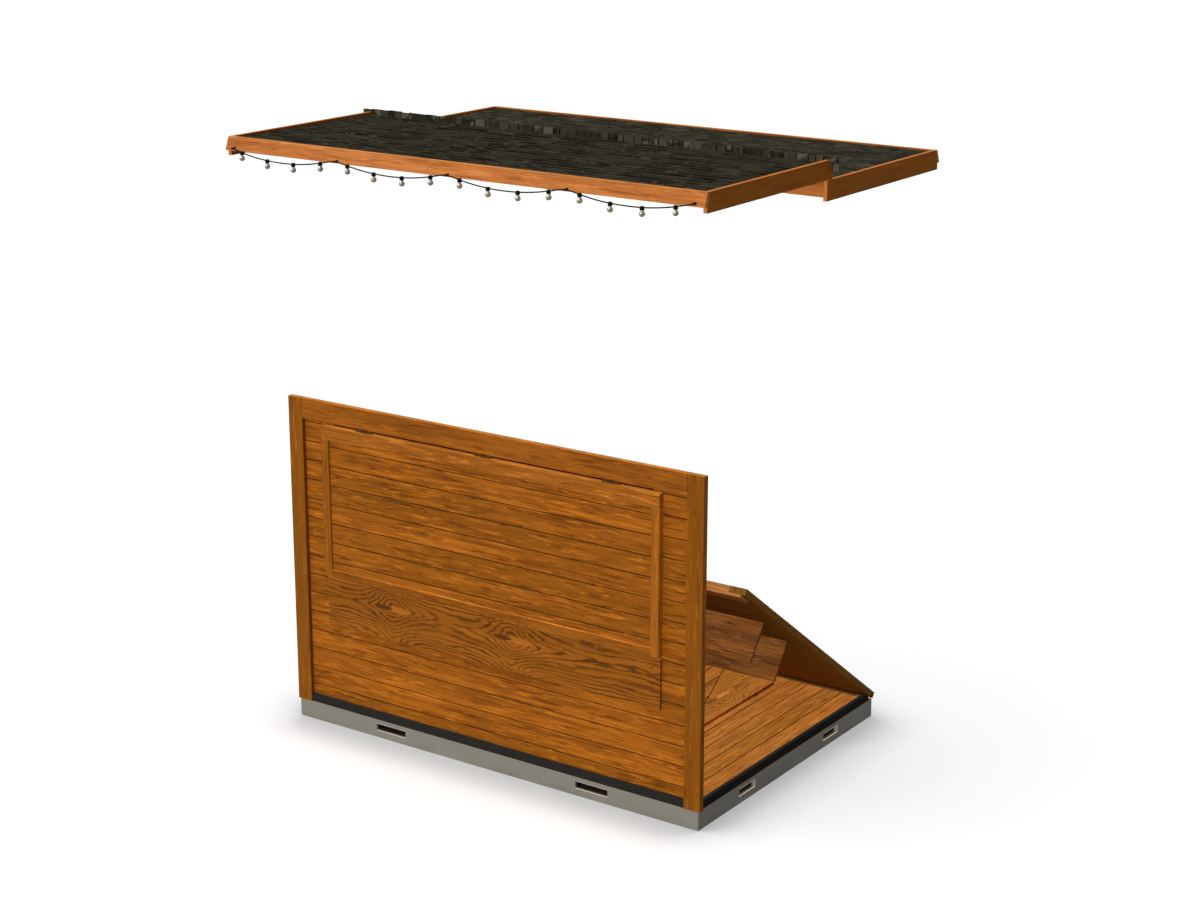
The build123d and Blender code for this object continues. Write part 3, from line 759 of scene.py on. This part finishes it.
def dress_base(finish):
    """Steel rails with lined fork pockets, black edge strips and a boarded floor."""
    for node in ("base_front_rail", "base_rear_rail", "base_left_rail", "base_right_rail", "floor_bearers"):
        paint(node, finish["steel"])
    for node in ("front_edge_strip", "left_edge_strip", "right_edge_strip"):
        paint(node, finish["edge"])
    lip = 0.002
    depth = 0.007
    proud = 0.001
    half_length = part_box("base_front_rail")[1].x
    half_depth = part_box("base_rear_rail")[1].y
    liners = Pile()
    for along_y, centre, half, face in (
        (True, front_way, 0.118, half_depth), (False, side_way, 0.093, half_length),
    ):
        for place in (-centre, centre):
            left, right = place - half, place + half
            for side in (-1, 1):
                run = sorted((side * (face + proud), side * (face - depth)))
                for across, height in (
                    ((left, left + lip), (pocket_low, pocket_high)),
                    ((right - lip, right), (pocket_low, pocket_high)),
                    ((left + lip, right - lip), (pocket_low, pocket_low + lip)),
                    ((left + lip, right - lip), (pocket_high - lip, pocket_high)),
                ):
                    box_along(liners, along_y, run, across, height, 0.001)
    liners.piece("pocket_liners", "stall", "steel", finish["pocket"])
    line_fork_ways(finish, half_length, half_depth)

    low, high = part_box("floor_deck")
    floor = Pile()
    floor_pitch = 0.145
    half_gap = 0.001
    edges = joints_between(low.y, high.y, 0.0, floor_pitch)
    for near, far in zip(edges, edges[1:]):
        near += half_gap
        far -= half_gap
        floor.slab([(low.x, near), (high.x, near), (high.x, far), (low.x, far)], low.z, high.z)
    floor.piece("floor_boards", "stall", "floor", finish["floor"], "floor_deck")


# Front wall
def dress_front_wall(finish):
    """Posts, rails and boards, the hatch in its frame and the counter board."""
    for node in ("front_left_post", "front_right_post"):
        timber(node, "stall", "frame", finish["frame_z"])
    timber("front_top_rail", "stall", "frame", finish["frame_x"])
    wall_boards("front_header_boards", "stall", finish["boards"])
    wall_boards("front_lower_boards", "stall", finish["boards"])
    wall_boards("hatch_boards", "hatch", finish["boards"])
    low, high = local_box("front_side_boards", wall_place)
    opening_half = 1.170
    sides = Pile(wall_place)
    for start, end in ((low.x, -opening_half), (opening_half, high.x)):
        boards_up(sides, (start, low.y, low.z), (end, high.y, high.z), first_joint)
    sides.piece("front_side_planks", "stall", "boards", finish["boards"], "front_side_boards")

    low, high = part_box("hatch_stiles")
    stile_width = 0.055
    stiles = Pile()
    for start, end in ((low.x, low.x + stile_width), (high.x - stile_width, high.x)):
        stiles.box((start, low.y, low.z), (end, high.y, high.z))
    stiles.piece("hatch_stile_timbers", "hatch", "frame", finish["hatch_z"], "hatch_stiles")
    timber("hatch_top_rail", "hatch", "frame", finish["hatch_x"])
    timber("hatch_bottom_rail", "hatch", "frame", finish["foot_rail"], edge=0.002)
    # Painted shadow: a near-black strip on the header boards' face, in the slit between the hatch and the
    # top rail.
    slit_half = 1.165
    slit_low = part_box("hatch_top_rail")[1].z + 0.0006
    slit_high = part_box("front_top_rail")[0].z - 0.0005
    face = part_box("front_header_boards")[0].y
    slit = Pile()
    slit.box((-slit_half, face - 0.0052, slit_low), (slit_half, face - 0.0004, slit_high), 0, dark_joint_and_shadow_tone)
    slit.piece("hatch_head_painted_shadow", "stall", "boards", finish["boards"])
    timber("counter_board", "counter", "counter", finish["counter"], edge=0.002)
    # The hatch hinges are coloured dark brown, as dark as the slit's painted shadow, so they read as its
    # shade.
    for node in ("hatch_hinge_leaves", "hatch_hinge_knuckles"):
        paint(node, finish["slit_shade_steel"])
    for node in ("counter_hinge_leaves", "counter_hinge_knuckles"):
        paint(node, finish["brown_steel"])


# Back wall
def dress_back_wall(finish):
    """Boards, rail, ledger, shelves and slotted posts of the leaning wall, and the seal at its foot."""
    boards = Pile(back_place)
    low, high = local_box("back_boards", back_place)
    boards_up(boards, low, high, first_joint - back_pin_height, gap=0.002, dark=0.5)
    boards.piece("back_wall_planks", "back_wall", "boards", finish["back"], "back_boards")
    timber("back_top_rail", "back_wall", "frame", finish["ledger"], back_place)
    timber("back_ledger", "back_wall", "frame", finish["ledger"], back_place)
    seal_near, seal_far, seal_low = 1.0275, 1.0335, 0.1183
    strip = Pile()
    for start, end, seal_high in ((-1.39, 1.39, 0.1232), (-1.449, -1.3905, 0.1212), (1.3905, 1.449, 0.1212)):
        strip.box((start, seal_near, seal_low), (end, seal_far, seal_high), 0.0005)
    strip.piece("back_sill_seal", "stall", "edge", finish["seal"])
    timber("back_upper_shelf", "back_wall", "shelf", finish["shelf"], back_place, 0.002)
    timber("back_lower_shelf", "back_wall", "shelf", finish["shelf"], back_place, 0.002)
    slot_half = 0.007
    slot_top = 0.026
    lug_x = 1.455
    for node, middle in (("back_left_post", -lug_x), ("back_right_post", lug_x)):
        low, high = local_box(node, back_place)
        post = Pile(back_place)
        outline = [
            (low.x, low.y), (middle - slot_half, low.y), (middle - slot_half, slot_top),
            (middle + slot_half, slot_top), (middle + slot_half, low.y),
            (high.x, low.y), (high.x, high.y), (low.x, high.y),
        ]
        post.slab(outline, low.z, high.z, 0.0015, 0.4)
        post.piece(f"{node}_timber", "back_wall", "frame", finish["back_post"], node)
    for node in ("back_hinge_pins", "back_hinge_lugs"):
        paint(node, finish["hardware"])


# Side walls
def dress_side_walls(finish):
    """Both folded walls: boards across the stall, cut to the gable, each with its counter board."""
    tongue = 0.005
    for name, side in (("right", 1), ("left", -1)):
        low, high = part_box(f"{name}_side_wall")
        half = high.y
        length = high.x - low.x
        eave = length - half * slope
        pile = Pile()
        foot = side * (high.x if side > 0 else low.x)
        first = foot - lying_first_joint
        edges = joints_between(0.0, length, first, wall_pitch_across)
        for start, end in zip(edges, edges[1:]):
            start += board_gap / 2
            end -= board_gap / 2
            near = min(half, (length - start) / slope)
            far = min(half, (length - end) / slope)
            points = [(start, -near), (start, near)]
            if start < eave < end:
                points.append((eave, half))
            if far > 0.01:
                points += [(end, far), (end, -far)]
            else:
                points.append((end, 0))
            if start < eave < end:
                points.append((eave, -half))
            outline = [(side * (foot - u), v) for u, v in points]
            if side > 0:
                outline.reverse()
            pile.slab(outline, low.z, high.z, 0.0015)
        for joint in edges[1:-1]:
            reach = min(half, (length - joint) / slope) - 0.012
            near_x, far_x = sorted((side * (foot - joint - tongue), side * (foot - joint + tongue)))
            pile.box((near_x, -reach, low.z + 0.001), (far_x, reach, high.z - joint_depth), 0, dark_joint_and_shadow_tone)
        pile.piece(f"{name}_side_planks", "stall", "boards", finish["lying"], f"{name}_side_wall")
        timber(f"{name}_side_counter", "stall", "counter", finish["lying_counter"], edge=0.002)


# Roof
def lay_shingles(pile, x_span, eave_y, ridge_y, deck_top):
    """Rows of wedge-shaped shingles from the eave to the ridge, each butt over the row below it."""
    out = 1 if ridge_y > eave_y else -1
    rows = int(abs(ridge_y - eave_y) / shingle_exposure)
    exposure = abs(ridge_y - eave_y) / rows
    for row in range(rows):
        butt_y = eave_y + out * row * exposure
        x = x_span[0] - chance.uniform(0, 0.1)
        while x < x_span[1] - 0.02:
            width = chance.uniform(*shingle_widths)
            start = max(x, x_span[0]) + shingle_gap / 2
            end = min(x + width, x_span[1]) - shingle_gap / 2
            x += width
            if end - start < narrowest_shingle:
                continue
            near = butt_y - out * chance.uniform(0, butt_stagger) * (row > 0)
            far = butt_y + out * exposure
            butt = deck_top + shingle_butt + chance.uniform(-0.002, 0.003)
            head = deck_top + shingle_head
            outline = [(start, near), (end, near), (end, far), (start, far)]
            heights = [butt, butt, head, head]
            if out < 0:
                outline.reverse()
                heights.reverse()
            pile.slab(outline, deck_top, butt, 0, lean=heights)


def dress_roof(finish):
    """Rim boards, boarded decks, rows of shingles and the upright shingles of the ridge cap."""
    side_place = Matrix(((0, 0, 1, 0), (1, 0, 0, 0), (0, 1, 0, 0), (0, 0, 0, 1)))
    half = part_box("front_eave_board")[1].x
    board = 0.025
    eave_height = 0.080
    drift = eave_height * slope
    # Outer edge, ridge line, top, height of the gable boards and the way out from the ridge
    for name, edge, ridge, top, height, out in (
        ("front", -1.301, 0.008, 3.729, 0.112, -1), ("rear", 1.301, -0.049, 3.617, 0.120, 1),
    ):
        eave = Pile(side_place)
        outline = [
            (edge, top), (edge + out * drift, top - eave_height),
            (edge + out * (drift - board), top - eave_height), (edge - out * board, top),
        ]
        eave.slab(outline, -half, half, 0.002, 0.2)
        eave.piece(f"{name}_eave_timber", "roof", "roof_board", finish["roof_x"], f"{name}_eave_board")
        gables = Pile(side_place)
        high_y = edge - out * board
        low_y = high_y + out * drift
        outline = [
            (high_y, top), (low_y, top - eave_height), (low_y, top - height),
            (ridge, top - height), (ridge, top),
        ]
        for start in (-half, half - board):
            gables.slab(outline, start, start + board, 0.002, 0.2)
        gables.piece(f"{name}_gable_timbers", "roof", "roof_board", finish["roof_y"], f"{name}_gable_boards")
    timber("rear_near_board", "roof", "roof_board", finish["roof_x"])
    cap_low, cap_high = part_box("ridge_cap")
    front_low, front_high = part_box("front_roof_deck")
    rear_low, rear_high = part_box("rear_roof_deck")
    for name, low, high, out in (("front", front_low, front_high, -1), ("rear", rear_low, rear_high, 1)):
        paint(f"{name}_roof_deck", finish["roof_x"])
        reach = (high.z - low.z) * slope
        eave_y = (low.y + reach) if out < 0 else (high.y - reach)
        ridge_y = cap_low.y if out < 0 else low.y
        pile = Pile()
        lay_shingles(pile, (low.x, high.x), eave_y, ridge_y, high.z)
        pile.piece(f"{name}_shingles", "roof", "shingle", finish["shingle"])

    foot = front_high.z
    ridge = front_high.y
    top = cap_high.z
    drop = cap_low.z
    rim_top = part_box("front_gable_boards")[1].z
    thickness = 0.012
    narrowest_cap = 0.008
    cap_widths = (0.022, 0.085)
    last_cap = 0.12
    cap = Pile(side_place)
    stops = [cap_low.x]
    while stops[-1] < cap_high.x - last_cap:
        stops.append(stops[-1] + chance.uniform(*cap_widths))
    stops += [cap_high.x, rear_low.x, rear_high.x, -half, half]
    stops = sorted(stops)
    for start, end in zip(stops, stops[1:]):
        if end - start < narrowest_cap:
            continue
        over_rim = rear_high.x < abs(start + end) / 2 < half
        base = rim_top if over_rim else foot
        height = top - chance.uniform(0, 0.007)
        front = cap_low.y + chance.uniform(0, 0.003)
        foot_drop = drop + chance.uniform(0, 0.006)
        outline = [
            (front, base), (ridge, base), (ridge, foot_drop), (ridge + thickness, foot_drop),
            (ridge + thickness, foot), (front + thickness, height), (front, height),
        ]
        tone = chance.choice((0.0, 0.3, 0.4, 0.5, 0.6, 0.7))
        gap = chance.choice((0.0015, 0.0015, 0.0015, 0.0025, 0.006))
        cap.slab(outline, start + gap, end - gap, 0, tone)
    cap.piece("ridge_cap_shingles", "roof", "shingle", finish["cap"], "ridge_cap")


# String lights
def turned(pile, centre, profile, axis="Z", steps=24):
    """Adds a turned solid to a pile: (radius, height) pairs about an axis through the centre."""
    start = len(pile.points)
    tone = chance.random()
    for radius, height in profile:
        for step in range(steps):
            angle = 2 * pi * step / steps
            u, v = radius * cos(angle), radius * sin(angle)
            offset = Vector((u, v, height)) if axis == "Z" else Vector((height, u, v))
            pile.points.append(Vector(centre) + offset)
    for ring in range(len(profile) - 1):
        for step in range(steps):
            after = (step + 1) % steps
            lower, upper = start + ring * steps, start + (ring + 1) * steps
            pile.faces.append([lower + step, lower + after, upper + after, upper + step])
            pile.tones.append(tone)
    for ring in (0, len(profile) - 1):
        face = [start + ring * steps + step for step in range(steps)]
        pile.faces.append(face[::-1] if ring == 0 else face)
        pile.tones.append(tone)


def bulb_profile():
    """A globe bulb from its foot up to its neck, as (radius, height below the socket)."""
    centre = -bulb_length + bulb_radius
    neck = 0.008
    angles = [radians(8 * k) for k in range(1, 14)]
    globe = [(bulb_radius * sin(a), centre - bulb_radius * cos(a)) for a in angles]
    rim_radius, rim_height = globe[-1]
    taper = neck - rim_radius
    rise = [(rim_radius + taper * t ** 0.7, rim_height * (1 - t)) for t in (0.25, 0.5, 0.75, 1.0)]
    return [(0.0008, -bulb_length)] + globe + rise


def hang_lights(finish):
    """The cord in its swags, with its clips, sockets and bulbs."""
    data = bpy.data.curves.new("light_cord_line", "CURVE")
    data.dimensions = "3D"
    spline = data.splines.new("NURBS")
    spline.points.add(len(cord_route) - 1)
    for point, (x, z) in zip(spline.points, cord_route):
        point.co = (x, cord_y, z, 1)
    spline.order_u = 3
    spline.use_endpoint_u = True
    spline.resolution_u = 8
    cord = bpy.data.objects.new("string_light_cord", data)
    bpy.context.scene.collection.objects.link(cord)
    bpy.context.view_layer.update()
    line = [vertex.co.copy() for vertex in bpy.data.meshes.new_from_object(cord).vertices]

    def cord_height(x):
        for before, after in zip(line, line[1:]):
            if before.x <= x <= after.x:
                return before.z + (after.z - before.z) * (x - before.x) / (after.x - before.x)
        return line[0].z if x < line[0].x else line[-1].z

    data.bevel_depth = cord_diameter / 2
    data.bevel_resolution = 4
    data.materials.append(finish["cord"])
    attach(cord, "roof")
    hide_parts("light_cord")

    sockets = Pile()
    bulbs = Pile()
    socket_profile = [
        (0.004, -socket_length), (0.0112, -socket_length), (socket_radius, -socket_length + 0.002),
        (socket_radius, -0.012), (0.0118, -0.011), (0.0118, -0.009), (socket_radius, -0.008),
        (0.0125, -0.005), (0.0100, -0.001), (0.006, 0.0),
    ]
    for x in lamp_places:
        top = cord_height(x) + socket_over_cord
        turned(sockets, (x, cord_y, top), socket_profile)
        turned(bulbs, (x, cord_y, top - socket_length), bulb_profile())
    holders = sockets.piece("lamp_sockets", "roof", "cord", finish["cord"], "light_sockets")
    globes = bulbs.piece("lamp_globes", "roof", "bulb", finish["bulb"], "light_bulbs")
    for polygon in globes.data.polygons:
        polygon.use_smooth = True

    clips = Pile()
    eave_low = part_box("front_eave_board")[0]
    ring = [(0.0044, -0.004), (0.0070, -0.004), (0.0070, 0.004), (0.0044, 0.004)]
    for x in clip_places:
        z = cord_height(x)
        turned(clips, (x, cord_y, z), ring, "X", 16)
        plate_z = max(z, eave_low.z + 0.011)
        plate_y = eave_low.y + (plate_z - eave_low.z) * slope
        plate_low = (x - 0.0065, plate_y - 0.003, plate_z - 0.010)
        clips.box(plate_low, (x + 0.0065, plate_y + 0.003, plate_z + 0.008), 0.001)
        clips.box((x - 0.004, cord_y + 0.006, z - 0.003), (x + 0.004, plate_y - 0.001, z + 0.003), 0.0008)
    hooks = clips.piece("cord_clips", "roof", "hardware", finish["hardware"], "light_clips")


make_camera()
finishes = make_materials()
hang_lights(finishes)
make_stage()
dress_base(finishes)
dress_front_wall(finishes)
dress_back_wall(finishes)
dress_side_walls(finishes)
dress_roof(finishes)
